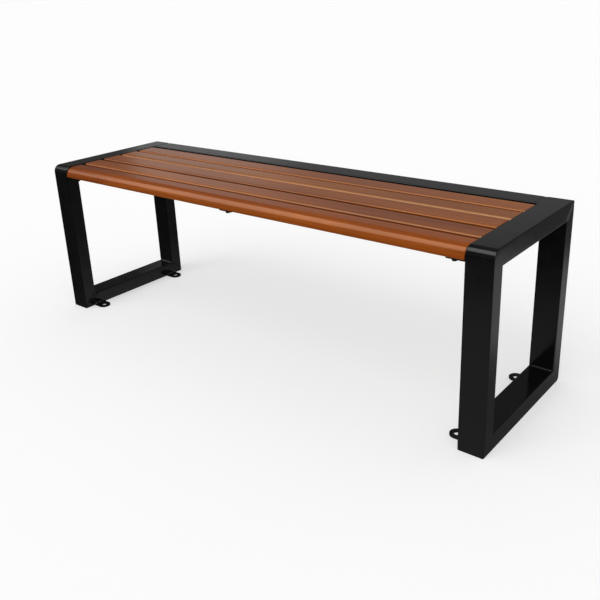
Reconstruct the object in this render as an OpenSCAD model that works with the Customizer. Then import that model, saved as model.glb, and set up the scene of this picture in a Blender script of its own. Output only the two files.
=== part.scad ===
// Backless bench. Five hardwood slats lie between two closed end frames of
// rectangular steel tube, and a rear rail of the same tube ties the frames together.
//
// X runs along the seat, the front edge faces -Y and Z is up. The origin is the
// middle of the footprint, at floor level. Left and right are as seen from the front.

/* [Overall] */
// Length over the outer faces of the end frames
bench_length = 1400; // [1000:10:1800]
// Depth from the front edge to the back of the rear rail
bench_depth = 400; // [380:5:460]
// Height of the seat surface above the floor
seat_height = 450; // [400:5:500]

/* [Frame tube] */
// Wide side of the rectangular tube
tube_wide = 60; // [50:1:70]
// Narrow side of the rectangular tube
tube_deep = 40; // [36:1:45]
// Wall thickness of the tube
tube_wall = 2; // [1.5:0.5:2]
// Radius along the tube's four long edges
tube_edge_r = 2.5; // [2.5:0.5:4]
// Outer radius of the fold at the front upper corner of both frames
front_fold_r = 20; // [10:1:25]
// Outer radius of the fold at the lower rear corner of the right frame
rear_fold_r = 10; // [6:1:25]

/* [Slats] */
// Thickness of a slat
slat_thick = 30; // [29:1:32]
// Gap between neighbouring slats, and behind the last one
slat_gap = 8; // [4:0.5:10]
// Gap between each end of a slat and its end frame
slat_end_gap = 1; // [0.5:0.5:4]
// Radius of a slat's upper edges
slat_top_r = 5; // [2:0.5:6]
// Radius of a slat's lower edges
slat_low_r = 3; // [2:0.5:4]
// Radius of all edges at a slat's ends
slat_end_r = 2; // [1:0.5:4]
// Radius of the front upper edge of the front slat
nose_r = 25; // [6:1:26]

/* [Slat supports] */
// Thickness of the flat bars under the slats
bar_thick = 5; // [4:0.5:6]
// Width of the ledge along each end frame
ledge_w = 45; // [42:1:80]
// Width of the strap under the middle of the slats
strap_w = 40; // [30:1:60]
// Distance that the bars stay behind the front edge
bar_setback = 8; // [5:1:10]
// Distance from an end frame to its row of screws
screw_inset = 30; // [20:1:32]
// Distance between the two screws that a slat has on each bar
screw_pair = 24; // [18:1:26]

/* [Coach screws] */
// Diameter of the shank
shank_d = 6; // [5:0.5:8]
// Length of the shank under the head
shank_len = 30; // [20:1:30]
// Width of the hexagonal head across its flats
head_flats = 10; // [10:0.5:13]
// Height of the head
head_h = 4; // [3.5:0.5:6]
// Diameter of the washer
washer_d = 12; // [12:0.5:16]
// Thickness of the washer
washer_t = 1.6; // [1:0.2:2]

/* [Floor lugs] */
// Width of a lug, and twice the radius of its round end
lug_w = 35; // [30:1:40]
// Thickness of a lug
lug_thick = 5; // [4:0.5:8]
// Diameter of the anchor hole
anchor_d = 16; // [10:0.5:18]
// Distance from the frame's inner face to the anchor hole
anchor_out = 25; // [22:1:35]
// Distance from the middle of the depth to each pair of lugs
lug_offset = 150; // [120:1:150]

/* [Hidden] */
$fn = 64;

LEFT = -1;
RIGHT = 1;
FRONT = -1;
REAR = 1;
SHARP = 0;          // fold radius of a corner that is mitred and welded
spare = 1;          // how far a cutting shape runs past what it cuts

front_y = -bench_depth / 2;
back_y = bench_depth / 2;
inner_x = bench_length / 2 - tube_wide;      // inner face of an end frame
frame_x = bench_length / 2 - tube_wide / 2;  // middle of an end frame
rail_front_y = back_y - tube_wide;           // front face of the rear rail
tube_bore_r = tube_edge_r - tube_wall;       // radius of the hollow's long edges

slat_count = 5;
slat_w = (rail_front_y - front_y) / slat_count - slat_gap;
slat_len = 2 * (inner_x - slat_end_gap);
slat_base = seat_height - slat_thick;
bar_base = slat_base - bar_thick;
bar_front_y = front_y + bar_setback;

screw_xs = [screw_inset - inner_x, 0, inner_x - screw_inset];
head_top = bar_base - washer_t;
point_len = 5;      // cone at the tip of a coach screw
shank_play = 0.1;   // room around the shank in the wood
bar_play = 0.5;     // room around the shank in the flat bars and washers

paint = "#1b1c1e";
wood = "#8a4a36";
wood_dark = "#74382b";
screw_black = "#3a3b3d";

// Middle of slat number n across the seat, counted from the front
function slat_y(n) = front_y + slat_w / 2 + (n - 1) * (slat_w + slat_gap);

// Both screw rows of slat number n on one bar
function screw_ys(n) = [slat_y(n) - screw_pair / 2, slat_y(n) + screw_pair / 2];

// ---- Outlines ----

// What a radius takes off the corner of a square that faces +X and +Y
module corner_waste(r) {
    difference() {
        square(r + spare);
        circle(r = r);
    }
}

// Rectangle standing on the X axis. Its corner radii run anticlockwise from the upper right.
module eased_rectangle(w, h, radii) {
    corners = [[w / 2, h], [-w / 2, h], [-w / 2, 0], [w / 2, 0]];
    inward = [[-1, -1], [1, -1], [1, 1], [-1, 1]];
    difference() {
        translate([-w / 2, 0])
            square([w, h]);
        for (i = [0:3])
            translate(corners[i] + radii[i] * inward[i])
                rotate(90 * i)
                    corner_waste(radii[i]);
    }
}

module even_rectangle(w, h, r) {
    eased_rectangle(w, h, [r, r, r, r]);
}

// ---- Frame tubes ----

// Section of the tube: wide side along X, outer face on the X axis, body below it
module tube_section() {
    translate([0, -tube_deep])
        difference() {
            even_rectangle(tube_wide, tube_deep, tube_edge_r);
            translate([0, tube_wall])
                even_rectangle(tube_wide - 2 * tube_wall, tube_deep - 2 * tube_wall, tube_bore_r);
        }
}

// Half of a disc's section: out to radius r, as wide as w, with eased rim
module rim_section(r, w, edge_r) {
    translate([0, -w / 2])
        intersection() {
            even_rectangle(2 * r, w, edge_r);
            square([r, w]);
        }
}

// Corner where the outer wall is folded round radius r. Its outer faces lie at y = 0 and z = 0.
module folded_corner(r) {
    intersection() {
        translate([0, r, -r])
            rotate([0, 90, 0])
                rotate_extrude()
                    difference() {
                        rim_section(r, tube_wide, tube_edge_r);
                        rim_section(r - tube_wall, tube_wide - 2 * tube_wall, tube_bore_r);
                    }
        translate([-tube_wide, 0, -r])
            cube([2 * tube_wide, r, r]);
    }
}

// One side of a closed frame: it runs along +Y with its outer face up, at z = 0, and is
// mitred at both ends. A fold radius above zero rounds the outer corner at that end.
module frame_side(side_len, start_r, end_r) {
    color(paint)
        intersection() {
            rotate([90, 0, 90])
                linear_extrude(2 * tube_wide, center = true)
                    polygon([
                        [-spare, spare],
                        [side_len + spare, spare],
                        [side_len - tube_deep - spare, -tube_deep - spare],
                        [tube_deep + spare, -tube_deep - spare]
                    ]);
            union() {
                translate([0, side_len - end_r, 0])
                    rotate([90, 0, 0])
                        linear_extrude(side_len - start_r - end_r)
                            tube_section();
                if (start_r > 0)
                    folded_corner(start_r);
                if (end_r > 0)
                    translate([0, side_len, 0])
                        mirror([0, 1, 0])
                            folded_corner(end_r);
            }
        }
}

module top_rail(side) {
    translate([side * frame_x, front_y, seat_height])
        frame_side(bench_depth, front_fold_r, SHARP);
}

module front_leg(side) {
    translate([side * frame_x, front_y, 0])
        rotate([90, 0, 0])
            frame_side(seat_height, SHARP, front_fold_r);
}

module bottom_rail(side, rear_r) {
    translate([side * frame_x, back_y, 0])
        rotate([180, 0, 0])
            frame_side(bench_depth, rear_r, SHARP);
}

module rear_leg(side, rear_r) {
    translate([side * frame_x, back_y, seat_height])
        rotate([270, 0, 0])
            frame_side(seat_height, SHARP, rear_r);
}

// The tube lies flat between the two top rails, flush with their upper faces
module rear_rail() {
    color(paint)
        translate([-inner_x, rail_front_y + tube_wide / 2, seat_height])
            rotate([90, 0, 90])
                linear_extrude(2 * inner_x)
                    tube_section();
}

// ---- Slats ----

// Holes up into slat number n, one for each screw
module pilot_holes(n) {
    for (x = screw_xs, y = screw_ys(n))
        translate([x, y, slat_base - spare])
            cylinder(d = shank_d + 2 * shank_play, h = head_top + shank_len - slat_base + 2 * spare);
}

// Slat number n with front_r on its front upper edge. Edges and ends are all eased.
module slat(n, front_r) {
    difference() {
        intersection() {
            translate([-slat_len / 2, slat_y(n), slat_base])
                rotate([90, 0, 90])
                    linear_extrude(slat_len)
                        eased_rectangle(slat_w, slat_thick, [slat_top_r, front_r, slat_low_r, slat_low_r]);
            translate([0, slat_y(n) + slat_w, slat_base])
                rotate([90, 0, 0])
                    linear_extrude(2 * slat_w)
                        even_rectangle(slat_len, slat_thick, slat_end_r);
            translate([0, slat_y(n) - slat_w / 2, slat_base - spare])
                linear_extrude(slat_thick + 2 * spare)
                    even_rectangle(slat_len, slat_w, slat_end_r);
        }
        pilot_holes(n);
    }
}

module slat_1() { color(wood_dark) slat(1, nose_r); }
module slat_2() { color(wood) slat(2, slat_top_r); }
module slat_3() { color(wood) slat(3, slat_top_r); }
module slat_4() { color(wood_dark) slat(4, slat_top_r); }
module slat_5() { color(wood) slat(5, slat_top_r); }

// ---- Slat supports ----

// Flat bar under the slats, from near the front edge back to the rear rail, with two
// screw holes for each slat in a row at screw_x
module slat_bar(low_x, w, screw_x) {
    color(paint)
        difference() {
            translate([low_x, bar_front_y, bar_base])
                cube([w, rail_front_y - bar_front_y, bar_thick]);
            for (n = [1:slat_count], y = screw_ys(n))
                translate([screw_x, y, bar_base - spare])
                    cylinder(d = shank_d + 2 * bar_play, h = bar_thick + 2 * spare);
        }
}

module left_slat_ledge() { slat_bar(-inner_x, ledge_w, screw_xs[0]); }
module centre_strap() { slat_bar(-strap_w / 2, strap_w, screw_xs[1]); }
module right_slat_ledge() { slat_bar(inner_x - ledge_w, ledge_w, screw_xs[2]); }

// Copies its child to every screw, with z = 0 where the head meets its washer
module at_screws() {
    for (x = screw_xs, n = [1:slat_count], y = screw_ys(n))
        translate([x, y, head_top])
            children();
}

module coach_screw() {
    straight_len = shank_len - point_len;
    translate([0, 0, -head_h])
        cylinder(d = head_flats / cos(30), h = head_h, $fn = 6);
    cylinder(d = shank_d, h = straight_len);
    translate([0, 0, straight_len])
        cylinder(d1 = shank_d, d2 = shank_d / 4, h = point_len);
}

module washer() {
    difference() {
        cylinder(d = washer_d, h = washer_t);
        translate([0, 0, -spare])
            cylinder(d = shank_d + 2 * bar_play, h = washer_t + 2 * spare);
    }
}

module slat_screws() {
    color(screw_black)
        at_screws()
            coach_screw();
}

module slat_washers() {
    color(screw_black)
        at_screws()
            washer();
}

// ---- Floor lugs ----

// Flat plate on the floor, welded to the inner face of a bottom rail, with an anchor hole
module floor_lug(side, end) {
    color(paint)
        translate([side * inner_x, end * lug_offset, 0])
            linear_extrude(lug_thick)
                difference() {
                    union() {
                        translate([side < 0 ? 0 : -anchor_out, -lug_w / 2])
                            square([anchor_out, lug_w]);
                        translate([-side * anchor_out, 0])
                            circle(d = lug_w);
                    }
                    translate([-side * anchor_out, 0])
                        circle(d = anchor_d);
                }
}

// ---- Assembly ----

top_rail(LEFT);  // left_top_rail
front_leg(LEFT);  // left_front_leg
bottom_rail(LEFT, SHARP);  // left_bottom_rail
rear_leg(LEFT, SHARP);  // left_rear_leg
top_rail(RIGHT);  // right_top_rail
front_leg(RIGHT);  // right_front_leg
bottom_rail(RIGHT, rear_fold_r);  // right_bottom_rail
rear_leg(RIGHT, rear_fold_r);  // right_rear_leg
rear_rail();
left_slat_ledge();
right_slat_ledge();
centre_strap();
slat_1();
slat_2();
slat_3();
slat_4();
slat_5();
slat_screws();
slat_washers();
floor_lug(LEFT, FRONT);  // left_front_lug
floor_lug(LEFT, REAR);  // left_rear_lug
floor_lug(RIGHT, FRONT);  // right_front_lug
floor_lug(RIGHT, REAR);  // right_rear_lug
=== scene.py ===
import math
import random

import bmesh
import bpy
from mathutils import Matrix, Vector, noise


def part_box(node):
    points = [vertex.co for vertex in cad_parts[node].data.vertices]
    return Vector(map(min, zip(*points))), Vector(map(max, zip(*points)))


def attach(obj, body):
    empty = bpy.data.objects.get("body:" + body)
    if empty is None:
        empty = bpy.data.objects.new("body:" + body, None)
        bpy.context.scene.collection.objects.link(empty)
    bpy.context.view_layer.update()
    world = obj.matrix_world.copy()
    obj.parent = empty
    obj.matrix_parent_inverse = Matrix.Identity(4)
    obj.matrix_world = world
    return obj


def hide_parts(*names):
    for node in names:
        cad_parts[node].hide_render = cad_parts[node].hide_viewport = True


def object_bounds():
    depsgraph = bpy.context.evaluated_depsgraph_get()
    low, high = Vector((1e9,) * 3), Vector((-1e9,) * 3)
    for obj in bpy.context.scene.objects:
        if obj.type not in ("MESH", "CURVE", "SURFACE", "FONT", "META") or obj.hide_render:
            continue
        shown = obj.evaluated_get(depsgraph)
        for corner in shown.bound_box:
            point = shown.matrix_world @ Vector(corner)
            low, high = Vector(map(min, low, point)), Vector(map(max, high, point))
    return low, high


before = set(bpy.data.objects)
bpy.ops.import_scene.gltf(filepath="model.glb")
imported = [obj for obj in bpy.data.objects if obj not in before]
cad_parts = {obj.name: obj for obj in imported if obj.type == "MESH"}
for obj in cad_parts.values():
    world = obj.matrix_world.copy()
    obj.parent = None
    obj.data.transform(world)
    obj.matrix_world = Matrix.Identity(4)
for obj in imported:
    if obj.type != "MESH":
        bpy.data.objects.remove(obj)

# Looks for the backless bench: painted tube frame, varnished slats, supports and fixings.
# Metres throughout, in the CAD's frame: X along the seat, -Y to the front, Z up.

cad_low, cad_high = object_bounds()

MM = 0.001
BODY = "root"
SIDES = {"left": -1, "right": 1}
ENDS = ("front", "rear")
BARS = ("left_slat_ledge", "centre_strap", "right_slat_ledge")
X, Y, Z = Vector((1, 0, 0)), Vector((0, 1, 0)), Vector((0, 0, 1))

# ---- Sizes: the frame gives the places, and these give the shapes' own details ----

EDGE_R = 2.5 * MM            # radius along a tube's long edges
FRONT_FOLD = 20 * MM         # fold of both front upper corners
REAR_FOLD = 10 * MM          # fold of the right frame's lower rear corner
GROUND_EDGE = 1.2 * MM       # what grinding leaves of the outer edge of a mitred corner
GRIND_DIP = 0.40 * MM        # how far a ground seam lies below the tube's faces
GRIND_REACH = 12 * MM        # how far from the seam the dip runs; half of it is flat
STATION = 25 * MM            # spacing of the rings along a tube

SLAT_LOW_R = 3 * MM
SLAT_END_R = 2 * MM
NOSE_R = 25 * MM             # front upper edge of the front slat
SANDING = 0.12 * MM          # unevenness that planing and sanding leave

# Each slat from the front: radius of its upper edges, what planing took off its upper and rear
# faces, how yellow it is, and how pale its upper edges are painted, as wear and as a painted highlight.
SLAT_TRAITS = {
    "slat_1": (5.0 * MM, 1.8 * MM, 0.89, 0.00),
    "slat_2": (6.3 * MM, 0.9 * MM, 0.98, 0.55),
    "slat_3": (4.5 * MM, 0.2 * MM, 1.00, 0.20),
    "slat_4": (7.5 * MM, 0.6 * MM, 1.08, 1.00),
    "slat_5": (5.0 * MM, 1.0 * MM, 1.00, 0.45),
}

BAR_EASE = 0.7 * MM          # rolled edge of the flat bars and lugs
BAR_HOLE_R = 3.5 * MM
ANCHOR_R = 8 * MM
HEAD_FLATS = 10 * MM         # coach screw heads, M6
HEAD_H = 4 * MM
SHANK_R = 3 * MM
POINT_LEN = 5 * MM
WASHER_T = 1.6 * MM
WASHER_EDGE = 0.25 * MM      # chamfer that stamping leaves on a washer

# ---- Mesh helpers ----


def mesh_from(name, bm, sharp_degrees=38):
    """Turns a bmesh into a smooth mesh that stays crisp at edges sharper than sharp_degrees."""
    bmesh.ops.recalc_face_normals(bm, faces=bm.faces)
    limit = math.radians(sharp_degrees)
    for face in bm.faces:
        face.smooth = True
    for edge in bm.edges:
        edge.smooth = edge.calc_face_angle(0) < limit
    mesh = bpy.data.meshes.new(name)
    bm.to_mesh(mesh)
    bm.free()
    return mesh


def add_piece(name, mesh, material, slot, *nodes):
    """Adds a piece of the bench that rides on the body and stands for the named CAD nodes."""
    piece = bpy.data.objects.new(name, mesh)
    bpy.context.scene.collection.objects.link(piece)
    mesh.materials.append(material)
    even = piece.modifiers.new("even_normals", "WEIGHTED_NORMAL")
    even.keep_sharp = True
    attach(piece, BODY)
    if nodes:
        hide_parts(*nodes)


def add_loft(bm, rings, closed=False):
    """Skins a list of rings of points. Ends are capped, unless the last ring joins the first."""
    skins = [[bm.verts.new(p) for p in ring] for ring in rings]
    count = len(skins[0])
    pairs = list(zip(skins, skins[1:]))
    if closed:
        pairs.append((skins[-1], skins[0]))
    else:
        bm.faces.new(skins[0])
        bm.faces.new(reversed(skins[-1]))
    for near, far in pairs:
        for i in range(count):
            j = (i + 1) % count
            bm.faces.new((near[i], near[j], far[j], far[i]))


def arc(centre, radius, start, stop, steps):
    """Points on an arc in the plane, from one angle in degrees to another."""
    angles = [math.radians(start + (stop - start) * i / steps) for i in range(steps + 1)]
    return [(centre[0] + radius * math.cos(a), centre[1] + radius * math.sin(a)) for a in angles]


def rounded_outline(low, high, radii, steps=6, spacing=8 * MM):
    """Anticlockwise rectangle with an arc on each corner and points along its flats.
    The radii run upper right, upper left, lower left, lower right."""
    (x0, y0), (x1, y1) = low, high
    ur, ul, ll, lr = radii
    corners = [
        arc((x1 - ur, y1 - ur), ur, 0, 90, steps),
        arc((x0 + ul, y1 - ul), ul, 90, 180, steps),
        arc((x0 + ll, y0 + ll), ll, 180, 270, steps),
        arc((x1 - lr, y0 + lr), lr, 270, 360, steps),
    ]
    points = []
    for k, corner in enumerate(corners):
        points += corner
        start, stop = Vector(corner[-1]), Vector(corners[(k + 1) % 4][0])
        count = max(1, round((stop - start).length / spacing))
        points += [tuple(start.lerp(stop, i / count)) for i in range(1, count)]
    return points


def size_of(node):
    low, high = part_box(node)
    return high - low


def middle_of(node):
    low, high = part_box(node)
    return (low + high) / 2


# ---- Frame tubes ----

TUBE = size_of("left_rear_leg")
TUBE_OUTLINE = rounded_outline((-TUBE.x / 2, 0), (TUBE.x / 2, TUBE.y), [EDGE_R] * 4)
FOLD_STEPS = 10


def dip_at(reach):
    """How far a tube's side face lies below its true plane at a distance from a ground seam."""
    share = min(1, max(0, 2 - 2 * reach / GRIND_REACH))
    return GRIND_DIP * share * share * (3 - 2 * share)


def mitre_rings(fold):
    """Rings from a tube's mitred end up to its straight part, with the outer face up and the
    tube along +Y. The outer corner is rounded by fold. The side faces of a corner that was cut
    and welded dip at its ground seam."""
    welded = fold == GROUND_EDGE
    rings = []
    for step in range(FOLD_STEPS + 1):
        share = step / FOLD_STEPS
        angle = math.radians(45 + 45 * share)
        ring = []
        for x, depth in TUBE_OUTLINE:
            reach = fold - depth
            slide = GRIND_REACH * share
            if reach > 0:
                y, z = fold - reach * math.cos(angle), reach * math.sin(angle) - fold
                slide = min(slide, y + z)
            else:
                y, z = depth + slide, -depth
            dip = dip_at(slide) if welded else 0
            ring.append(Vector((x * (1 - 2 * dip / TUBE.x), y, z)))
        rings.append(ring)
    return rings


def tube_mesh(name, length, start_fold, end_fold, place):
    """Mitred tube in the coordinates that mitre_rings uses, then moved to its place."""
    start = mitre_rings(start_fold)
    end = [[Vector((p.x, length - p.y, p.z)) for p in ring] for ring in mitre_rings(end_fold)]
    stations = round(length / STATION)
    middle = [[a.lerp(b, k / stations) for a, b in zip(start[-1], end[-1])] for k in range(1, stations)]
    bm = bmesh.new()
    add_loft(bm, start + middle + end[::-1])
    bm.transform(place)
    return mesh_from(name, bm)


def build_end_frame(side, paint):
    """Four mitred tubes that close one end frame. The front upper corner is folded, and so is
    the right frame's lower rear one."""
    x = middle_of(f"{side}_rear_leg").x
    rear = REAR_FOLD if side == "right" else GROUND_EDGE
    depth, height = cad_high.y - cad_low.y, cad_high.z
    tubes = {
        "top_rail": (depth, FRONT_FOLD, GROUND_EDGE, (x, cad_low.y, height), 0),
        "front_leg": (height, GROUND_EDGE, FRONT_FOLD, (x, cad_low.y, 0), 90),
        "bottom_rail": (depth, rear, GROUND_EDGE, (x, cad_high.y, 0), 180),
        "rear_leg": (height, GROUND_EDGE, rear, (x, cad_high.y, height), 270),
    }
    for part, (length, start_fold, end_fold, corner, turn) in tubes.items():
        place = Matrix.Translation(corner) @ Matrix.Rotation(math.radians(turn), 4, "X")
        node = f"{side}_{part}"
        mesh = tube_mesh(node, length, start_fold, end_fold, place)
        add_piece(f"{node}_tube", mesh, paint, "frame_paint", node)


def build_rear_rail(paint):
    """Tube laid flat between the end frames. It dips a little at its ground end seams."""
    low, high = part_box("rear_rail")
    outline = rounded_outline((low.y, low.z), (high.y, high.z), [EDGE_R] * 4)
    middle = middle_of("rear_rail")
    length = high.x - low.x
    reaches = [GRIND_REACH * k / FOLD_STEPS for k in range(FOLD_STEPS)]
    stations = round(length / STATION)
    straight = [GRIND_REACH + (length - 2 * GRIND_REACH) * k / stations for k in range(stations + 1)]
    rings = []
    for reach in reaches + straight + [length - r for r in reversed(reaches)]:
        dip = dip_at(min(reach, length - reach))
        shrink_y, shrink_z = 1 - 2 * dip / TUBE.x, 1 - 2 * dip / TUBE.y
        rings.append([Vector((low.x + reach, middle.y + (y - middle.y) * shrink_y,
                              middle.z + (z - middle.z) * shrink_z)) for y, z in outline])
    bm = bmesh.new()
    add_loft(bm, rings)
    add_piece("rear_rail_tube", mesh_from("rear_rail", bm), paint, "frame_paint", "rear_rail")


# ---- Welds ----

RIPPLE = 2.4 * MM            # spacing of the ripples along a bead
BEAD_STEPS = 6
BEAD_ROOT = 0.4 * MM         # how far a bead reaches below its seam
BEAD_LEGS = (3 * MM, 3 * MM)
BEAD_CROWN = 0.35 * MM
FILLET_LEGS = (2.6 * MM, 2.6 * MM)
FILLET_CROWN = 0.3 * MM
SEAM_LEGS = (5 * MM, 12 * MM)  # at the outer and at the inner corner
SEAM_CROWN = 0.38 * MM
SEAM_BASE = GRIND_DIP + 0.05 * MM
STITCH = 40 * MM             # length of the ledges' stitches


def add_bead(bm, start, stop, sides, legs, crown, draw):
    """Weld bead along a straight seam. It spreads along both side directions by its legs at start
    and stop, rises by the vector crown between them, and carries crescent ripples."""
    run = stop - start
    out = (sides[0] + sides[1] + crown).normalized()
    height = crown.length
    count = max(6, round(run.length / (RIPPLE / 4)))
    rings = []
    for k in range(count + 1):
        share = k / count
        end_taper = min(1, 0.35 + 6 * min(share, 1 - share))
        spread = (legs[0] + (legs[1] - legs[0]) * share) * end_taper * draw.uniform(0.94, 1.04)
        ring = []
        for step in range(BEAD_STEPS + 1):
            turn = step / BEAD_STEPS
            swell = math.sin(math.pi * turn)
            phase = (share * run.length - 0.5 * RIPPLE * swell) / RIPPLE
            rise = height * swell * (0.78 + 0.22 * abs(math.sin(math.pi * phase))) * end_taper
            across = sides[0] * (1 - turn) + sides[1] * turn
            ring.append(start + run * share + across * spread + out * rise)
        ring.append(start + run * share - out * BEAD_ROOT)
        rings.append(ring)
    add_loft(bm, rings)


def add_corner_fillet(bm, low_x, high_x, outer, inward, draw):
    """Fillet across a frame's inner corner. Outer is the outer corner, and inward is the
    diagonal direction that leads from it into the frame."""
    inner = outer + inward * TUBE.y
    ends = (inner + X * (low_x + EDGE_R), inner + X * (high_x - EDGE_R))
    sides = (Y * inward.y, Z * inward.z)
    add_bead(bm, *ends, sides, FILLET_LEGS, inward * FILLET_CROWN, draw)


def add_corner_seams(bm, low_x, high_x, outer, inward, draw):
    """Ground seam on both faces of a frame's mitred corner, from its outer to its inner corner."""
    across = Vector((0, inward.y, -inward.z)).normalized()
    for face_x, normal in ((low_x, -X), (high_x, X)):
        base = outer + X * face_x - normal * SEAM_BASE
        ends = (base + inward * EDGE_R, base + inward * (TUBE.y - EDGE_R))
        add_bead(bm, *ends, (across, -across), SEAM_LEGS, normal * SEAM_CROWN, draw)


def build_frame_welds(side, fillet_paint, seam_sheen_paint, foot_paint):
    """Fillets in the four inner corners of an end frame, and ground seams at each corner that isn't
    folded. The seams at the feet have their own paint; the upper seams' lighter grey is painted sheen."""
    draw = random.Random(side)
    low_x, high_x = (corner.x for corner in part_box(f"{side}_top_rail"))
    fillets, upper_seams, foot_seams = bmesh.new(), bmesh.new(), bmesh.new()
    for outer_y, toward_y in ((cad_low.y, 1), (cad_high.y, -1)):
        for outer_z, toward_z in ((0, 1), (cad_high.z, -1)):
            outer, inward = Vector((0, outer_y, outer_z)), Vector((0, toward_y, toward_z))
            add_corner_fillet(fillets, low_x, high_x, outer, inward, draw)
            at_front, at_foot = toward_y > 0, toward_z > 0
            if at_foot:
                folded = side == "right" and not at_front
            else:
                folded = at_front
            if not folded:
                seams = foot_seams if at_foot else upper_seams
                add_corner_seams(seams, low_x, high_x, outer, inward, draw)
    welds = {
        "fillets": (fillets, fillet_paint),
        "upper_seams": (upper_seams, seam_sheen_paint),
        "foot_seams": (foot_seams, foot_paint),
    }
    for part, (bm, paint) in welds.items():
        name = f"{side}_{part}"
        add_piece(name, mesh_from(name, bm, 60), paint, "frame_paint")


def build_rail_welds(paint):
    """Seams round both ends of the rear rail: ground on the faces, a fillet in the inner corner."""
    draw = random.Random("rear_rail")
    low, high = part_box("rear_rail")
    bm = bmesh.new()
    top_z, under_z, back_y = high.z - SEAM_BASE, low.z + SEAM_BASE, high.y - SEAM_BASE
    for x in (low.x, high.x):
        inward = -X if x > 0 else X
        corner = (Vector((x, low.y, low.z + EDGE_R)), Vector((x, low.y, high.z - EDGE_R)))
        add_bead(bm, *corner, (inward, -Y), BEAD_LEGS, (inward - Y) * FILLET_CROWN, draw)
        top = (Vector((x, low.y + EDGE_R, top_z)), Vector((x, high.y - MM, top_z)))
        add_bead(bm, *top, (X, -X), BEAD_LEGS, Z * FILLET_CROWN, draw)
        under = (Vector((x, low.y + EDGE_R, under_z)), Vector((x, high.y - EDGE_R, under_z)))
        add_bead(bm, *under, (X, -X), BEAD_LEGS, -Z * 2 * FILLET_CROWN, draw)
        back = (Vector((x, back_y, low.z + MM)), Vector((x, back_y, high.z - MM)))
        add_bead(bm, *back, (X, -X), BEAD_LEGS, Y * FILLET_CROWN, draw)
    add_piece("rear_rail_welds", mesh_from("rear_rail_welds", bm, 60), paint, "frame_paint")


def build_lug_welds(paint):
    """A fillet along the top of each lug where it meets the bottom rail."""
    draw = random.Random("lugs")
    bm = bmesh.new()
    for side, sign in SIDES.items():
        for end in ENDS:
            low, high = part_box(f"{side}_{end}_lug")
            x = low.x if sign < 0 else high.x
            ends = (Vector((x, low.y + MM, high.z)), Vector((x, high.y - MM, high.z)))
            sides = (X * -sign, Z)
            add_bead(bm, *ends, sides, BEAD_LEGS, (sides[0] + sides[1]) * BEAD_CROWN, draw)
    add_piece("lug_welds", mesh_from("lug_welds", bm, 60), paint, "frame_paint")


def build_support_welds(paint):
    """Stitches that hold the ledges to the top rails, and a bead that holds each bar to the rear rail."""
    draw = random.Random("supports")
    bm = bmesh.new()
    for side, sign in SIDES.items():
        low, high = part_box(f"{side}_slat_ledge")
        x = low.x if sign < 0 else high.x
        sides = (X * -sign, -Z)
        for share in (0.08, 0.36, 0.64, 0.92):
            y = low.y + (high.y - low.y) * share
            ends = (Vector((x, y - STITCH / 2, low.z)), Vector((x, y + STITCH / 2, low.z)))
            add_bead(bm, *ends, sides, BEAD_LEGS, (sides[0] + sides[1]) * BEAD_CROWN, draw)
    for bar in BARS:
        low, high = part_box(bar)
        ends = (Vector((low.x + 4 * MM, high.y, low.z)), Vector((high.x - 4 * MM, high.y, low.z)))
        add_bead(bm, *ends, (-Y, -Z), BEAD_LEGS, (-Y - Z) * BEAD_CROWN, draw)
    add_piece("support_welds", mesh_from("support_welds", bm, 60), paint, "frame_paint")


# ---- Slats ----

END_STEPS = 5
SLAT_STATIONS = 110


def outline_normals(outline):
    """Outward normals of a closed anticlockwise outline."""
    count = len(outline)
    normals = []
    for i in range(count):
        along = (Vector(outline[(i + 1) % count]) - Vector(outline[i - 1])).normalized()
        normals.append(Vector((along.y, -along.x)))
    return normals


def slat_mesh(node, rear_r, front_r, planed, seed):
    """Board with eased edges and ends, and a faint hand-sanded unevenness. Its upper and rear
    faces lie back by planed."""
    low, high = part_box(node)
    high -= planed * (Y + Z)
    radii = [rear_r, front_r, SLAT_LOW_R, SLAT_LOW_R]
    outline = rounded_outline((low.y, low.z), (high.y, high.z), radii, steps=12, spacing=7 * MM)
    normals = outline_normals(outline)
    turns = [math.radians(90 * k / END_STEPS) for k in range(END_STEPS)]
    ends = [(SLAT_END_R * (1 - math.cos(a)), SLAT_END_R * (1 - math.sin(a))) for a in turns]
    straight = high.x - low.x - 2 * SLAT_END_R
    stations = [(low.x + run, inset) for run, inset in ends]
    stations += [(low.x + SLAT_END_R + straight * k / SLAT_STATIONS, 0) for k in range(SLAT_STATIONS + 1)]
    stations += [(high.x - run, inset) for run, inset in reversed(ends)]
    rings = []
    for x, inset in stations:
        ring = []
        for (y, z), normal in zip(outline, normals):
            wear = SANDING * abs(noise.noise(Vector((x * 9, y * 40, z * 40 + seed))))
            ring.append(Vector((x, y - normal.x * (inset + wear), z - normal.y * (inset + wear))))
        rings.append(ring)
    bm = bmesh.new()
    add_loft(bm, rings)
    return mesh_from(node, bm, 50)


def build_slats():
    for index, (node, (edge_r, planed, yellow, wear_and_highlight)) in enumerate(SLAT_TRAITS.items()):
        mesh = slat_mesh(node, edge_r, NOSE_R if index == 0 else edge_r, planed, seed=17 * index)
        wood = make_wood(f"wood_{node}", 11 * index + 3, yellow, wear_and_highlight)
        add_piece(f"{node}_board", mesh, wood, "slat_wood", node)


# ---- Flat bars, lugs and fixings ----


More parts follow.
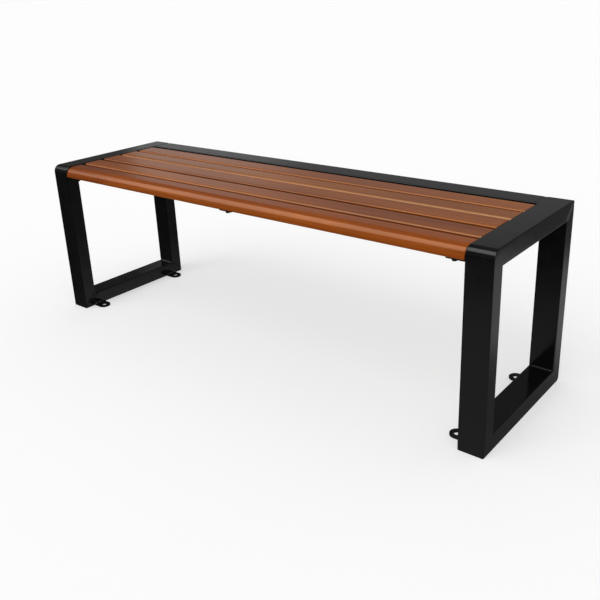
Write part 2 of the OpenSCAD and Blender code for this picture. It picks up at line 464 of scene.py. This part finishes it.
def plate_mesh(name, outlines, low_z, high_z):
    """Flat plate with eased edges from one closed outline and any number of hole outlines."""
    shape = bpy.data.curves.new(name, "CURVE")
    shape.dimensions = "2D"
    shape.fill_mode = "BOTH"
    for outline in outlines:
        spline = shape.splines.new("POLY")
        spline.points.add(len(outline) - 1)
        for point, (x, y) in zip(spline.points, outline):
            point.co = (x, y, 0, 1)
        spline.use_cyclic_u = True
    shape.extrude = (high_z - low_z) / 2 - BAR_EASE
    shape.bevel_depth = BAR_EASE
    shape.bevel_resolution = 2
    shape.offset = -BAR_EASE
    holder = bpy.data.objects.new(name, shape)
    bm = bmesh.new()
    bm.from_mesh(holder.to_mesh())
    bpy.data.objects.remove(holder)
    bpy.data.curves.remove(shape)
    bmesh.ops.remove_doubles(bm, verts=bm.verts, dist=0.01 * MM)
    bmesh.ops.translate(bm, verts=bm.verts, vec=Z * (low_z + high_z) / 2)
    return mesh_from(name, bm)


def circle(centre, radius, steps=40):
    return arc(centre, radius, 0, 360 - 360 / steps, steps - 1)


def screw_places():
    """X of the three rows of coach screws, and Y of the screws in a row."""
    low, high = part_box("slat_screws")
    corner = HEAD_FLATS / 2 / math.cos(math.radians(30))
    xs = [low.x + corner, 0, high.x - corner]
    first_y = low.y + HEAD_FLATS / 2
    half_pair = middle_of("slat_1").y - first_y
    ys = [middle_of(slat).y + shift for slat in SLAT_TRAITS for shift in (-half_pair, half_pair)]
    return xs, ys


def build_bars(paint):
    xs, ys = screw_places()
    for bar, screw_x in zip(BARS, xs):
        low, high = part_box(bar)
        plate = rounded_outline((low.x, low.y), (high.x, high.y), [MM] * 4, steps=3, spacing=30 * MM)
        holes = [circle((screw_x, y), BAR_HOLE_R) for y in ys]
        mesh = plate_mesh(bar, [plate] + holes, low.z, high.z)
        add_piece(f"{bar}_bar", mesh, paint, "frame_paint", bar)


def build_lugs(paint):
    """Tongue-shaped plates with a round end and an anchor hole."""
    for side, sign in SIDES.items():
        for end in ENDS:
            node = f"{side}_{end}_lug"
            low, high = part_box(node)
            radius = (high.y - low.y) / 2
            root_x = low.x if sign < 0 else high.x
            centre = (high.x - radius if sign < 0 else low.x + radius, middle_of(node).y)
            start = -90 if sign < 0 else 90
            tongue = arc(centre, radius, start, start + 180, 30)
            tongue += [(root_x, centre[1] - sign * radius), (root_x, centre[1] + sign * radius)]
            mesh = plate_mesh(node, [tongue, circle(centre, ANCHOR_R)], low.z, high.z)
            add_piece(f"{node}_plate", mesh, paint, "frame_paint", node)


def add_turned(bm, profile, place, steps=32):
    """Ring-shaped solid: a closed profile of (radius, height) points turned round Z."""
    rings = []
    for k in range(steps):
        spin = Matrix.Rotation(2 * math.pi * k / steps, 4, "Z")
        rings.append([place @ spin @ Vector((r, 0, z)) for r, z in profile])
    add_loft(bm, rings, closed=True)


def hex_ring(z_of, radius_of, steps=36):
    """Ring round Z whose radius and height depend on the radius of a hexagon there."""
    ring = []
    for k in range(steps):
        angle = 2 * math.pi * k / steps
        off_flat = (math.degrees(angle) + 30) % 60 - 30
        flat_radius = HEAD_FLATS / 2 / math.cos(math.radians(off_flat))
        radius = radius_of(flat_radius)
        ring.append(Vector((radius * math.cos(angle), radius * math.sin(angle), z_of(flat_radius))))
    return ring


def screw_rings():
    """Coach screw from the dimpled face of its head up to its point, with the head's seat at
    z = 0. The head's face is round and chamfered."""
    face_r = 0.46 * HEAD_FLATS
    dimple = 0.25 * MM
    chamfer = math.tan(math.radians(30))
    length = size_of("slat_screws").z - HEAD_H
    return [
        hex_ring(lambda r: dimple - HEAD_H, lambda r: 0.55 * face_r),
        hex_ring(lambda r: -HEAD_H, lambda r: 0.62 * face_r),
        hex_ring(lambda r: -HEAD_H, lambda r: face_r),
        hex_ring(lambda r: (r - face_r) * chamfer - HEAD_H, lambda r: r),
        hex_ring(lambda r: 0, lambda r: r),
        hex_ring(lambda r: 0, lambda r: SHANK_R),
        hex_ring(lambda r: length - POINT_LEN, lambda r: SHANK_R),
        hex_ring(lambda r: length, lambda r: SHANK_R / 4),
    ]


def build_screws(steel):
    """Hexagonal coach screws, each turned by its own angle, and their washers."""
    draw = random.Random("screws")
    seat_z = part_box("slat_screws")[0].z + HEAD_H
    xs, ys = screw_places()
    washer_r = size_of("slat_washers").x / 2 - xs[-1]
    washer = [(BAR_HOLE_R, 0), (washer_r - WASHER_EDGE, 0), (washer_r, WASHER_EDGE),
              (washer_r, WASHER_T), (BAR_HOLE_R, WASHER_T)]
    screws, washers = bmesh.new(), bmesh.new()
    rings = screw_rings()
    for x in xs:
        for y in ys:
            place = Matrix.Translation((x, y, seat_z))
            turned = place @ Matrix.Rotation(draw.uniform(0, math.pi), 4, "Z")
            add_loft(screws, [[turned @ p for p in ring] for ring in rings])
            add_turned(washers, washer, place)
    add_piece("slat_screw_set", mesh_from("slat_screws", screws, 25), steel, "screw_black", "slat_screws")
    add_piece("slat_washer_set", mesh_from("slat_washers", washers), steel, "screw_black", "slat_washers")


# ---- Node helpers ----


class Nodes:
    """Short ways to add nodes to a node tree."""

    def __init__(self, tree):
        self.tree = tree

    def add(self, kind, inputs=None, **settings):
        """Adds a node, sets its properties, and sets or links its inputs."""
        node = self.tree.nodes.new(kind)
        for key, value in settings.items():
            setattr(node, key, value)
        for key, value in (inputs or {}).items():
            self.set(node, key, value)
        return node

    def set(self, node, key, value):
        """Sets an input to a value, or links it to another node's output."""
        if isinstance(value, bpy.types.NodeSocket):
            self.tree.links.new(value, node.inputs[key])
        else:
            node.inputs[key].default_value = value

    def maths(self, operation, a, b=0.0):
        return self.add("ShaderNodeMath", {0: a, 1: b}, operation=operation).outputs[0]

    def total(self, first, *others):
        for other in others:
            first = self.maths("ADD", first, other)
        return first

    def product(self, first, *others):
        for other in others:
            first = self.maths("MULTIPLY", first, other)
        return first

    def one_minus(self, value):
        return self.maths("SUBTRACT", 1.0, value)

    def span(self, value, low, high, to_low, to_high):
        """Maps a value from one range to another."""
        inputs = {"Value": value, "From Min": low, "From Max": high, "To Min": to_low, "To Max": to_high}
        return self.add("ShaderNodeMapRange", inputs).outputs["Result"]

    def mix_shaders(self, factor, first, second):
        return self.add("ShaderNodeMixShader", {0: factor, 1: first, 2: second}).outputs[0]


class Surface(Nodes):
    """A new material and short ways to add nodes to it."""

    def __init__(self, name):
        self.material = bpy.data.materials.new(name)
        self.material.use_nodes = True
        super().__init__(self.material.node_tree)
        self.shader = self.tree.nodes["Principled BSDF"]
        coordinates = self.add("ShaderNodeTexCoord").outputs
        self.coordinates, self.normal = coordinates["Object"], coordinates["Normal"]

    def place(self, scales=(1, 1, 1), offset=(0, 0, 0)):
        """Object coordinates, scaled and shifted."""
        inputs = {"Vector": self.coordinates, "Scale": scales, "Location": offset}
        return self.add("ShaderNodeMapping", inputs).outputs[0]

    def parts(self, vector):
        """X, Y and Z of a vector."""
        return self.add("ShaderNodeSeparateXYZ", {"Vector": vector}).outputs

    def noise(self, vector, scale=1.0, detail=3.0, roughness=0.5):
        inputs = {"Vector": vector, "Scale": scale, "Detail": detail, "Roughness": roughness}
        return self.add("ShaderNodeTexNoise", inputs).outputs["Fac"]

    def ramp(self, factor, stops):
        """Colour ramp from (position, colour) stops."""
        node = self.add("ShaderNodeValToRGB", {"Fac": factor})
        elements = node.color_ramp.elements
        while len(elements) < len(stops):
            elements.new(0.5)
        for element, (position, colour) in zip(elements, stops):
            element.position = position
            element.color = (*colour, 1)
        return node.outputs["Color"]

    def bump(self, height, distance, strength=1.0, normal=None):
        inputs = {"Height": height, "Distance": distance, "Strength": strength}
        if normal:
            inputs["Normal"] = normal
        return self.add("ShaderNodeBump", inputs).outputs["Normal"]


class Room(Nodes):
    """World nodes for what lies in a direction: its x, y and z, where z is 1 straight up and 0 at
    the horizon, and its azimuth round Z from +X."""

    def __init__(self, world):
        world.use_nodes = True
        world.node_tree.nodes.clear()
        super().__init__(world.node_tree)
        direction = self.add("ShaderNodeTexCoord").outputs["Generated"]
        self.x, self.y, self.z = self.add("ShaderNodeSeparateXYZ", {"Vector": direction}).outputs
        self.azimuth = self.maths("ARCTAN2", self.y, self.x)

    def fade(self, value, zero_at, one_at):
        """Smooth step from zero to one."""
        inputs = {"Value": value, "From Min": zero_at, "From Max": one_at}
        return self.add("ShaderNodeMapRange", inputs, interpolation_type="SMOOTHSTEP").outputs["Result"]

    def sector(self, centre, half, soft, repeats=1):
        """One inside a sector of the horizon, which may repeat round it. All in degrees."""
        turn = self.product(self.maths("SUBTRACT", self.azimuth, math.radians(centre)), repeats)
        edges = [math.cos(math.radians(repeats * reach)) for reach in (half + soft, half)]
        return self.fade(self.maths("COSINE", turn), *edges)

    def light(self, strength):
        """Light of a strength, times the 0.8 of a new background's own grey."""
        return self.add("ShaderNodeBackground", {"Strength": strength}).outputs[0]


# ---- Materials ----

WOOD_TONES = [               # place on the ramp, then red, green and blue
    (0.34, 0.195, 0.039, 0.003),
    (0.52, 0.325, 0.078, 0.006),
    (0.70, 0.470, 0.135, 0.012),
]
# Pale colour of the upper edges: bare wood where the varnish wears off, and a painted highlight.
BARE_WOOD_AND_HIGHLIGHT = (0.44, 0.24, 0.12)
GAP_SHADE = 0.52                 # what painted shade in the gaps and on the faces below leaves of the colour
RING_SPACING = 1 / 230       # about what lies between two growth rings, in metres
DULL = (0.42, 0.56)          # roughness of paint on a weld
WELD_PEEL = 0.03 * MM


def make_paint(name, dark, light, gloss, peel_depth):
    """Black enamel on steel: orange peel, slight waviness, and smears that change the gloss.
    Gloss is the roughness at the cleanest and at the most smeared places."""
    n = Surface(name)
    peel = n.noise(n.place(), 420, detail=1)
    waves = n.noise(n.place(offset=(3, 1, 2)), 11, detail=2)
    smears = n.noise(n.place(offset=(7, 4, 5)), 26, detail=4, roughness=0.6)
    n.set(n.shader, "Base Color", n.ramp(smears, [(0.3, dark), (0.75, light)]))
    n.set(n.shader, "Roughness", n.span(smears, 0.3, 0.75, *gloss))
    wavy = n.bump(waves, 0.6 * MM, 0.5)
    n.set(n.shader, "Normal", n.bump(peel, peel_depth, 1.0, wavy))
    return n.material


def growth_rings(n, pith_y, pith_z, drift):
    """Light and dark rings round a line along the board, whose run drift disturbs."""
    _, y, z = n.parts(n.coordinates)
    side = n.total(y, pith_y, n.product(drift, 0.05))
    below = n.maths("SUBTRACT", z, pith_z)
    radius = n.maths("SQRT", n.total(n.maths("POWER", side, 2.0), n.maths("POWER", below, 2.0)))
    inputs = {"W": n.maths("DIVIDE", radius, RING_SPACING), "Scale": 1.0}
    return n.add("ShaderNodeTexNoise", inputs, noise_dimensions="1D").outputs["Fac"]


def painted_gap_shade(n):
    """How much painted shade takes from the colour: on the faces that don't look up, behind the nose."""
    nose_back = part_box("slat_1")[0].y + NOSE_R
    behind_nose = n.span(n.parts(n.coordinates)[1], nose_back + 5 * MM, nose_back + 20 * MM, 0.0, 1.0)
    return n.product(n.span(n.parts(n.normal)[2], 0.35, 0.65, 1 - GAP_SHADE, 0.0), behind_nose)


def wear_and_highlight_share(n, wear_and_highlight):
    """How pale the rounded upper edges are painted, more so to the right: bare wood where the varnish
    wears off, and a painted highlight.
    """
    up = n.parts(n.normal)[2]
    edge = n.product(n.span(up, 0.99, 0.93, 0.0, 1.0), n.span(up, 0.5, 0.65, 0.0, 1.0))
    return n.product(edge, n.span(n.parts(n.coordinates)[0], -0.5, 0.5, 0.1 * wear_and_highlight, 0.75 * wear_and_highlight))


def make_wood(name, seed, yellow, wear_and_highlight):
    """Varnished hardwood: growth rings round a line outside the board, fibre streaks and pores
    under a clear coat. Yellow scales the green of the board's colours. The upper edges are painted
    paler, partly as bare wood where the varnish wears off and partly as a painted highlight, and the
    faces in the gaps and below are darkened with painted shade."""
    n = Surface(name)
    draw = random.Random(seed)
    shift = tuple(draw.uniform(-5, 5) for _ in range(3))
    pith_y, pith_z = draw.uniform(-0.12, 0.12), draw.uniform(0.30, 0.36)
    drift = n.noise(n.place((1.4, 6, 6), shift), detail=2)
    streaks = n.noise(n.place((7, 420, 420), shift), detail=4, roughness=0.6)
    fibres = n.noise(n.place((22, 1500, 1500), shift), detail=2)
    pores = n.span(n.noise(n.place((70, 1900, 1900), shift), detail=1), 0.66, 0.74, 0.0, 1.0)
    rings = growth_rings(n, pith_y, pith_z, drift)
    mix = n.total(n.product(rings, 0.30), n.product(streaks, 0.18), n.product(drift, 0.52))
    tone = n.ramp(mix, [(stop, (red, green * yellow, blue)) for stop, red, green, blue in WOOD_TONES])
    # Pores and fibres mark the colour, and painted shade darkens the gaps and the faces below.
    shade = n.product(n.one_minus(n.product(pores, 0.20)), n.span(fibres, 0.3, 0.7, 0.9, 1.06),
                      n.one_minus(painted_gap_shade(n)))
    # The upper edges are painted paler: bare wood where the varnish wears, and a painted highlight.
    colours = {"Factor": wear_and_highlight_share(n, wear_and_highlight), 6: tone, 7: (*BARE_WOOD_AND_HIGHLIGHT, 1)}
    shown = n.add("ShaderNodeMix", colours, data_type="RGBA").outputs[2]
    tinted = n.add("ShaderNodeVectorMath", {0: shown, 1: shade}, operation="MULTIPLY")
    n.set(n.shader, "Base Color", tinted.outputs[0])
    n.set(n.shader, "Roughness", n.span(streaks, 0.3, 0.7, 0.16, 0.27))
    n.set(n.shader, "Specular IOR Level", 1.0)
    n.set(n.shader, "Specular Tint", (1.0, 0.5, 0.2, 1))
    n.set(n.shader, "Coat Weight", 0.35)
    n.set(n.shader, "Coat Roughness", 0.12)
    waves = n.bump(n.noise(n.place((9, 40, 40), shift), detail=2), 0.5 * MM, 0.5)
    grain = n.maths("SUBTRACT", n.product(streaks, 0.6), n.product(pores, 0.5))
    n.set(n.shader, "Normal", n.bump(grain, 0.05 * MM, 0.6, waves))
    return n.material


def make_screw_steel():
    """Black zinc plating, a little scuffed."""
    n = Surface("screw_black")
    scuffs = n.noise(n.place(), 260, detail=4, roughness=0.7)
    tone = n.ramp(scuffs, [(0.35, (0.030, 0.030, 0.034)), (0.7, (0.075, 0.072, 0.070))])
    n.set(n.shader, "Base Color", tone)
    n.set(n.shader, "Metallic", 1.0)
    n.set(n.shader, "Roughness", n.span(scuffs, 0.3, 0.7, 0.32, 0.5))
    n.set(n.shader, "Normal", n.bump(scuffs, 0.03 * MM, 0.5))
    return n.material


# ---- Stage, light and camera ----

BACKDROP = 1.21              # looks as bright as the floor, so that the horizon doesn't show
ROOM_GLOW = 0.035            # least light that a reflection gets from the room


def build_stage():
    """Plain pale floor that runs out of sight. It can't be seen from below."""
    bm = bmesh.new()
    bmesh.ops.create_grid(bm, x_segments=1, y_segments=1, size=120)
    floor = bpy.data.objects.new("floor", mesh_from("floor", bm))
    bpy.context.scene.collection.objects.link(floor)
    n = Surface("floor")
    n.set(n.shader, "Base Color", (0.62, 0.62, 0.62, 1))
    n.set(n.shader, "Emission Color", (1, 1, 1, 1))
    n.set(n.shader, "Emission Strength", 0.45)
    n.set(n.shader, "Roughness", 0.9)
    n.set(n.shader, "Specular IOR Level", 0.1)
    below = n.add("ShaderNodeNewGeometry").outputs["Backfacing"]
    clear = n.add("ShaderNodeBsdfTransparent").outputs[0]
    seen = n.mix_shaders(below, n.shader.outputs[0], clear)
    n.set(n.tree.nodes["Material Output"], "Surface", seen)
    floor.data.materials.append(n.material)
    floor.visible_glossy = False
    floor.visible_diffuse = False


def upper_room(n):
    """Brightness above the horizon for reflections: a ceiling to the front, a belt of wall with
    soft boxes, and a dimmer wall above it. The room's left end is dark."""
    ceiling = n.product(n.fade(n.y, 0.03, -0.08), n.fade(n.y, -0.66, -0.56), n.fade(n.z, 0.36, 0.46),
                        n.total(n.product(n.fade(n.x, -0.95, -0.45), 0.95), 1.60))
    boxes = n.product(n.sector(140, 5, 7, repeats=4), n.fade(n.z, 0.30, 0.20), 0.20)
    dimmer_front = n.total(n.product(n.fade(n.y, -0.3, 0.1), 0.6), 0.4)
    belt = n.product(n.fade(n.z, 0.0, 0.05), n.fade(n.z, 0.42, 0.33), dimmer_front, n.total(boxes, 0.205))
    dark_end = n.product(n.sector(170, 27, 1.5), n.fade(n.z, 0.65, 0.55), 0.8)
    upper_wall = n.product(n.fade(n.z, 0.42, 0.52), 0.09)
    return n.total(n.product(n.total(ceiling, belt), n.one_minus(dark_end)), upper_wall)


def lower_room(n):
    """Brightness below the horizon for reflections: the floor to the front, and a dimmer floor
    with a pale band to the rear. It fades out to the left."""
    front = n.product(n.fade(n.y, 0.1, -0.1), n.fade(n.z, -0.35, -0.41), 0.25)
    band = n.product(n.fade(n.z, -0.48, -0.43), n.fade(n.z, -0.32, -0.36), 0.36)
    rear = n.product(n.fade(n.y, -0.1, 0.1), n.total(band, 0.09))
    return n.product(n.total(front, rear), n.fade(n.z, 0.03, -0.03), n.fade(n.x, -0.95, -0.45))


def soft_fill(n):
    """Brightness for diffuse light: most from above, and least from straight below."""
    side = n.product(n.fade(n.z, -0.75, -0.35), 0.40)
    above = n.product(n.fade(n.z, -0.1, 0.1), 0.20)
    return n.total(side, above, 0.18)


def build_world():
    """Studio: an even backdrop for the camera, soft fill for diffuse light, and a dim room with
    pale parts for reflections."""
    world = bpy.data.worlds.new("studio")
    bpy.context.scene.world = world
    n = Room(world)
    rays = n.add("ShaderNodeLightPath").outputs
    room = n.light(n.total(upper_room(n), lower_room(n), ROOM_GLOW))
    lit = n.mix_shaders(rays["Is Glossy Ray"], n.light(soft_fill(n)), room)
    seen = n.mix_shaders(rays["Is Camera Ray"], lit, n.light(BACKDROP))
    n.add("ShaderNodeOutputWorld", {"Surface": seen})


def add_sun(name, direction, strength, softness):
    """Soft distant light that shines along direction, for diffuse light only."""
    data = bpy.data.lights.new(name, "SUN")
    data.energy = strength
    data.angle = math.radians(softness)
    light = bpy.data.objects.new(name, data)
    light.rotation_euler = Vector(direction).to_track_quat("-Z", "Y").to_euler()
    light.visible_glossy = False
    bpy.context.scene.collection.objects.link(light)


def build_camera():
    """Camera at the photograph's viewing angle."""
    data = bpy.data.cameras.new("camera")
    data.sensor_width = 36
    data.lens = 44.65
    data.shift_x = 0.0093
    data.shift_y = -0.0619
    data.clip_end = 400
    camera = bpy.data.objects.new("camera", data)
    camera.location = (1.2438, -1.4073, 0.9228)
    camera.rotation_euler = [math.radians(a) for a in (69.456, 2.394, 39.418)]
    bpy.context.scene.collection.objects.link(camera)
    bpy.context.scene.camera = camera


build_camera()
build_stage()
build_world()
add_sun("key", (0.1, 1.0, -0.9), 1.1, 60)
bpy.context.scene.view_settings.view_transform = "Standard"

frame_paint = make_paint("frame_paint", (0.0034, 0.0035, 0.0040), (0.0062, 0.0062, 0.0064),
                         (0.10, 0.20), 0.012 * MM)
weld_paint = make_paint("weld_paint", (0.016, 0.016, 0.015), (0.026, 0.026, 0.024), DULL, WELD_PEEL)
# The upper seams get a lighter grey than the frame: a painted sheen on the ground seams.
seam_sheen_paint = make_paint("seam_sheen_paint", (0.060, 0.060, 0.058), (0.085, 0.084, 0.080), DULL, WELD_PEEL)
for frame_side in SIDES:
    build_end_frame(frame_side, frame_paint)
    build_frame_welds(frame_side, weld_paint, seam_sheen_paint, frame_paint)
build_rear_rail(frame_paint)
build_rail_welds(frame_paint)
build_bars(frame_paint)
build_support_welds(weld_paint)
build_lugs(frame_paint)
build_lug_welds(weld_paint)
build_slats()
build_screws(make_screw_steel())
